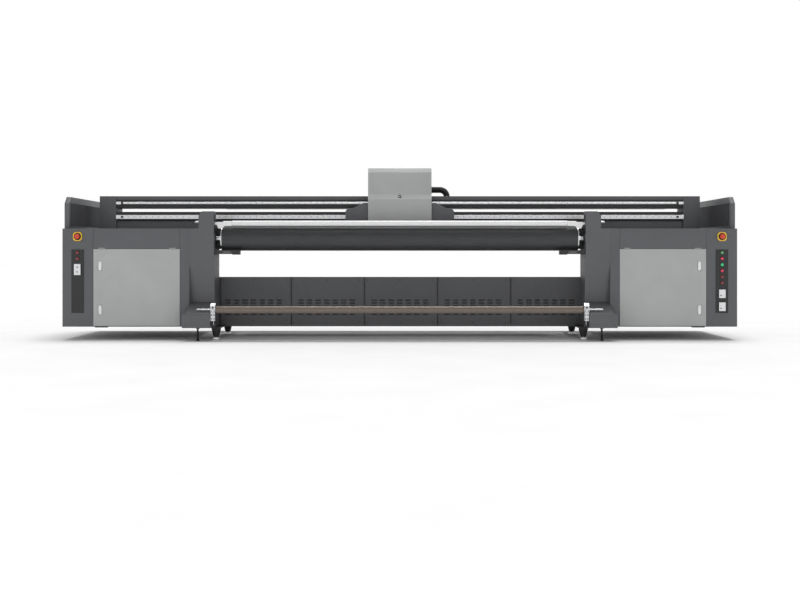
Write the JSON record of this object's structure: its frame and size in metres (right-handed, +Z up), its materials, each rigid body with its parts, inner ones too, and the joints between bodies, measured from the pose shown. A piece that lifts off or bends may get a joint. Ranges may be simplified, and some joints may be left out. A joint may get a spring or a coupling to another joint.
{
  "type": "flatbed uv printer",
  "caption": "Wide hybrid flatbed UV printer: belt conveyor under a gantry with a print carriage, cabinets at both ends, take-up shaft in front.",
  "frame": {"origin": "centre of the machine's footprint, on the floor that the levelling feet stand on", "axes": "+X along the machine to the operator's right, +Y from the operator's side to the back, +Z up"},
  "size_m": [6.28, 1.45, 1.629],
  "materials": {
    "dark_paint": "fine textured powder coat, dark grey",
    "light_paint": "fine textured powder coat, light grey",
    "black_paint": "satin powder coat, near black",
    "belt_rubber": "satin woven rubber belt",
    "bare_steel": "machined steel, satin",
    "aluminium": "anodised aluminium, satin",
    "cardboard": "spiral-wound cardboard tube",
    "hose_rubber": "matt black corrugated sleeve",
    "red_plastic": "translucent gloss lens",
    "green_plastic": "translucent gloss lens",
    "white_plastic": "gloss white"
  },
  "bodies": {
    "machine_frame": {"base_frame": "dark_paint", "left_end_post": "dark_paint", "right_end_post": "dark_paint", "left_toe_box": "dark_paint", "right_toe_box": "dark_paint", "left_cabinet": "dark_paint", "right_cabinet": "dark_paint", "left_wing_panel": "dark_paint", "right_wing_panel": "dark_paint", "left_gantry_support": "dark_paint", "right_gantry_support": "dark_paint", "rear_cover": "dark_paint", "upper_beam": "black_paint", "lower_beam": "black_paint", "cable_tray": "black_paint", "vent_panel_1": "black_paint", "vent_panel_2": "black_paint", "vent_panel_3": "black_paint", "vent_panel_4": "black_paint", "vent_panel_5": "black_paint", "front_left_foot": "black_paint", "front_right_foot": "black_paint", "rear_left_foot": "black_paint", "rear_right_foot": "black_paint", "upper_rail": "bare_steel", "lower_rail": "bare_steel", "left_shaft_chuck": "bare_steel", "right_shaft_chuck": "bare_steel", "platen": "aluminium", "conveyor_belt": "belt_rubber"},
    "carriage": {"carriage_slider": "aluminium"},
    "print_head": {"carriage_cover": "light_paint", "print_head_plate": "aluminium", "left_uv_lamp": "dark_paint", "right_uv_lamp": "dark_paint", "cable_elbow": "hose_rubber"},
    "front_roller": {"front_roller": "aluminium"},
    "rear_roller": {"rear_roller": "aluminium"},
    "guide_roller": {"guide_roller": "aluminium"},
    "takeup": {"takeup_shaft": "aluminium", "takeup_core": "cardboard"},
    "left_door": {"left_door": "light_paint"},
    "right_door": {"right_door": "light_paint"},
    "left_upper_latch": {"left_upper_latch": "white_plastic"},
    "left_lower_latch": {"left_lower_latch": "white_plastic"},
    "right_upper_latch": {"right_upper_latch": "white_plastic"},
    "right_lower_latch": {"right_lower_latch": "white_plastic"},
    "left_e_stop": {"left_e_stop": "red_plastic"},
    "right_e_stop": {"right_e_stop": "red_plastic"},
    "left_button_1": {"left_button_1": "red_plastic"},
    "left_button_2": {"left_button_2": "red_plastic"},
    "right_button_2": {"right_button_2": "red_plastic"},
    "right_button_4": {"right_button_4": "red_plastic"},
    "right_button_5": {"right_button_5": "red_plastic"},
    "right_button_6": {"right_button_6": "red_plastic"},
    "right_button_1": {"right_button_1": "green_plastic"},
    "right_button_3": {"right_button_3": "green_plastic"},
    "left_switch": {"left_switch": "bare_steel"},
    "right_upper_switch": {"right_upper_switch": "bare_steel"},
    "right_lower_switch": {"right_lower_switch": "bare_steel"}
  },
  "joints": [
    {"name": "carriage_travel", "type": "slide", "parent": "machine_frame", "child": "carriage", "axis": [1, 0, 0], "range_m": [-2.1, 2.1]},
    {"name": "head_lift", "type": "slide", "parent": "carriage", "child": "print_head", "axis": [0, 0, 1], "range_m": [-0.05, 0.03]},
    {"name": "front_roller_spin", "type": "hinge", "parent": "machine_frame", "child": "front_roller", "pos_m": [0, -0.405, 0.943], "axis": [1, 0, 0], "continuous": true},
    {"name": "rear_roller_spin", "type": "hinge", "parent": "machine_frame", "child": "rear_roller", "pos_m": [0, 0.595, 0.943], "axis": [1, 0, 0], "continuous": true},
    {"name": "guide_roller_spin", "type": "hinge", "parent": "machine_frame", "child": "guide_roller", "pos_m": [0, -0.465, 1.087], "axis": [1, 0, 0], "continuous": true},
    {"name": "takeup_spin", "type": "hinge", "parent": "machine_frame", "child": "takeup", "pos_m": [0, -0.675, 0.29], "axis": [1, 0, 0], "continuous": true},
    {"name": "left_door_swing", "type": "hinge", "parent": "machine_frame", "child": "left_door", "pos_m": [-2.046, -0.525, 0.488], "axis": [0, 0, 1], "range_deg": [0, 95]},
    {"name": "right_door_swing", "type": "hinge", "parent": "machine_frame", "child": "right_door", "pos_m": [2.046, -0.525, 0.488], "axis": [0, 0, -1], "range_deg": [0, 95]},
    {"name": "left_upper_latch_lift", "type": "hinge", "parent": "left_door", "child": "left_upper_latch", "pos_m": [-2.788, -0.5217, 0.732], "axis": [-1, 0, 0], "range_deg": [0, 35], "stiffness_Nm_per_rad": 0.4},
    {"name": "left_lower_latch_lift", "type": "hinge", "parent": "left_door", "child": "left_lower_latch", "pos_m": [-2.788, -0.5217, 0.323], "axis": [-1, 0, 0], "range_deg": [0, 35], "stiffness_Nm_per_rad": 0.4},
    {"name": "right_upper_latch_lift", "type": "hinge", "parent": "right_door", "child": "right_upper_latch", "pos_m": [2.788, -0.5217, 0.732], "axis": [-1, 0, 0], "range_deg": [0, 35], "stiffness_Nm_per_rad": 0.4},
    {"name": "right_lower_latch_lift", "type": "hinge", "parent": "right_door", "child": "right_lower_latch", "pos_m": [2.788, -0.5217, 0.323], "axis": [-1, 0, 0], "range_deg": [0, 35], "stiffness_Nm_per_rad": 0.4},
    {"name": "left_e_stop_press", "type": "slide", "parent": "machine_frame", "child": "left_e_stop", "axis": [0, 1, 0], "range_m": [0, 0.006]},
    {"name": "right_e_stop_press", "type": "slide", "parent": "machine_frame", "child": "right_e_stop", "axis": [0, 1, 0], "range_m": [0, 0.006]},
    {"name": "left_button_1_press", "type": "slide", "parent": "machine_frame", "child": "left_button_1", "axis": [0, 1, 0], "range_m": [0, 0.003], "stiffness_N_per_m": 400},
    {"name": "left_button_2_press", "type": "slide", "parent": "machine_frame", "child": "left_button_2", "axis": [0, 1, 0], "range_m": [0, 0.003], "stiffness_N_per_m": 400},
    {"name": "right_button_1_press", "type": "slide", "parent": "machine_frame", "child": "right_button_1", "axis": [0, 1, 0], "range_m": [0, 0.003], "stiffness_N_per_m": 400},
    {"name": "right_button_2_press", "type": "slide", "parent": "machine_frame", "child": "right_button_2", "axis": [0, 1, 0], "range_m": [0, 0.003], "stiffness_N_per_m": 400},
    {"name": "right_button_3_press", "type": "slide", "parent": "machine_frame", "child": "right_button_3", "axis": [0, 1, 0], "range_m": [0, 0.003], "stiffness_N_per_m": 400},
    {"name": "right_button_4_press", "type": "slide", "parent": "machine_frame", "child": "right_button_4", "axis": [0, 1, 0], "range_m": [0, 0.003], "stiffness_N_per_m": 400},
    {"name": "right_button_5_press", "type": "slide", "parent": "machine_frame", "child": "right_button_5", "axis": [0, 1, 0], "range_m": [0, 0.003], "stiffness_N_per_m": 400},
    {"name": "right_button_6_press", "type": "slide", "parent": "machine_frame", "child": "right_button_6", "axis": [0, 1, 0], "range_m": [0, 0.003], "stiffness_N_per_m": 400},
    {"name": "left_switch_rock", "type": "hinge", "parent": "machine_frame", "child": "left_switch", "pos_m": [-2.995, -0.525, 0.655], "axis": [1, 0, 0], "range_deg": [-6, 6]},
    {"name": "right_upper_switch_rock", "type": "hinge", "parent": "machine_frame", "child": "right_upper_switch", "pos_m": [2.995, -0.525, 0.43], "axis": [1, 0, 0], "range_deg": [-6, 6]},
    {"name": "right_lower_switch_rock", "type": "hinge", "parent": "machine_frame", "child": "right_lower_switch", "pos_m": [2.995, -0.525, 0.31], "axis": [1, 0, 0], "range_deg": [-6, 6]}
  ],
  "couplings": [
    {"joint": "rear_roller_spin", "follows": "front_roller_spin", "ratio": 1}
  ]
}
